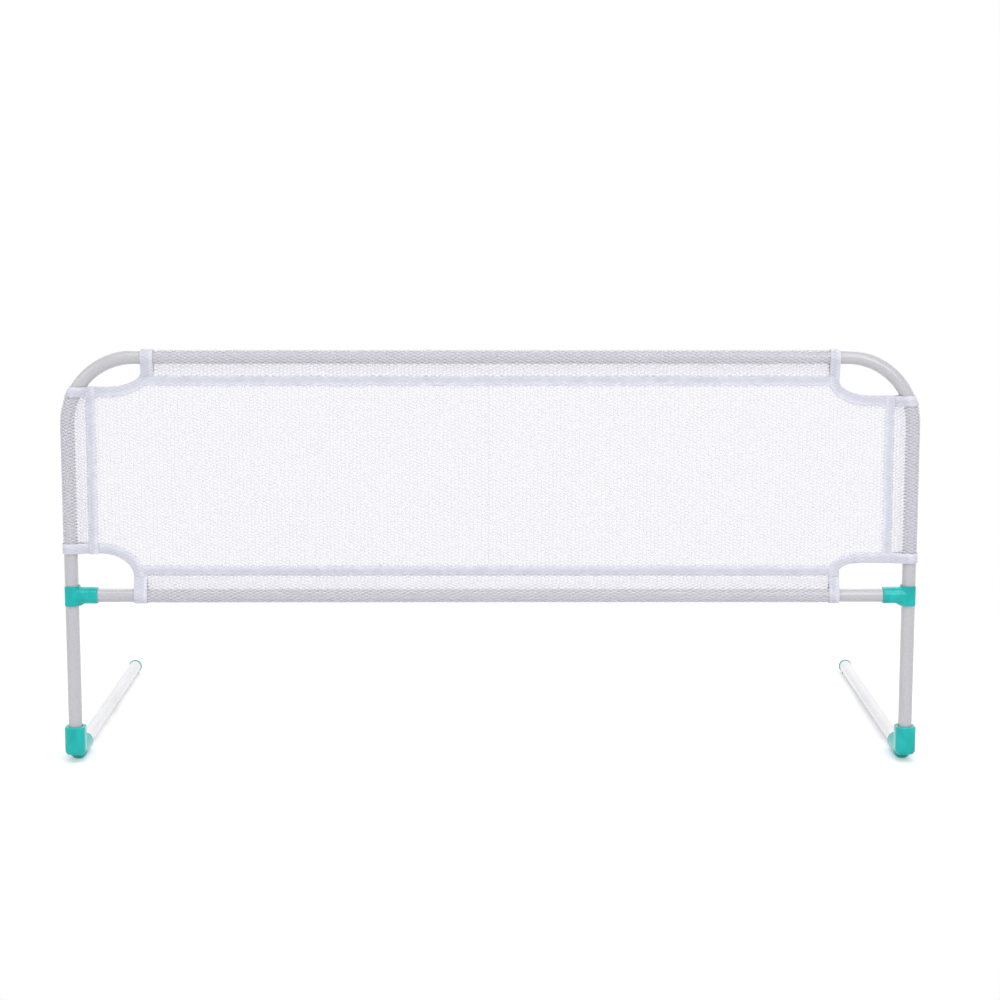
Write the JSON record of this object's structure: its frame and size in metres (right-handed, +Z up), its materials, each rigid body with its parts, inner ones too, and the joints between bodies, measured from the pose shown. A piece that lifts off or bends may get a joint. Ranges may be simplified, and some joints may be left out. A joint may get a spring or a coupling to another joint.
{
  "type": "folding bed guard rail",
  "caption": "Bed guard rail: bent steel frame with a net cover sleeved over its tubes, a cross tube on tee fittings, and two legs that swivel flat under the panel.",
  "frame": {"origin": "on the floor, at the middle of the rail's footprint: midway between the uprights and midway between the front of the elbows and the ends of the leg caps", "axes": "+X along the rail to the right of someone who stands in front of it, +Y back under the mattress, along the legs, +Z up"},
  "size_m": [1.0082, 0.4882, 0.4906],
  "materials": {
    "grey_paint": "semi-gloss powder coat, light grey",
    "white_paint": "semi-gloss powder coat, white",
    "teal_plastic": "glossy moulded plastic, turquoise",
    "net_fabric": "white knitted polyester net",
    "tape_fabric": "woven polyester tape, bluish white, stitched",
    "zinc_steel": "zinc-plated steel",
    "grey_plastic": "matte moulded plastic, grey"
  },
  "bodies": {
    "panel": {"frame_tube": "grey_paint", "cross_tube": "grey_paint", "left_tee": "teal_plastic", "left_tee_upright_screw": "zinc_steel", "left_tee_arm_screw": "zinc_steel", "left_swivel_screw": "zinc_steel", "left_swivel_washer": "zinc_steel", "left_upright_plug": "grey_plastic", "left_sleeve": "net_fabric", "left_hem_tape": "tape_fabric", "top_left_binding": "tape_fabric", "bottom_left_binding": "tape_fabric", "right_tee": "teal_plastic", "right_tee_upright_screw": "zinc_steel", "right_tee_arm_screw": "zinc_steel", "right_swivel_screw": "zinc_steel", "right_swivel_washer": "zinc_steel", "right_upright_plug": "grey_plastic", "right_sleeve": "net_fabric", "right_hem_tape": "tape_fabric", "top_right_binding": "tape_fabric", "bottom_right_binding": "tape_fabric", "top_sleeve": "net_fabric", "top_hem_tape": "tape_fabric", "bottom_sleeve": "net_fabric", "bottom_hem_tape": "tape_fabric", "net_panel": "net_fabric"},
    "left_leg": {"left_elbow": "teal_plastic", "left_leg_tube": "white_paint", "left_leg_cap": "teal_plastic", "left_leg_screw": "zinc_steel"},
    "right_leg": {"right_elbow": "teal_plastic", "right_leg_tube": "white_paint", "right_leg_cap": "teal_plastic", "right_leg_screw": "zinc_steel"}
  },
  "joints": [
    {"name": "left_leg_swivel", "type": "hinge", "parent": "panel", "child": "left_leg", "pos_m": [-0.491, -0.2321, 0.015], "axis": [0, 0, -1], "range_deg": [0, 90]},
    {"name": "right_leg_swivel", "type": "hinge", "parent": "panel", "child": "right_leg", "pos_m": [0.491, -0.2321, 0.015], "axis": [0, 0, 1], "range_deg": [0, 90]}
  ]
}
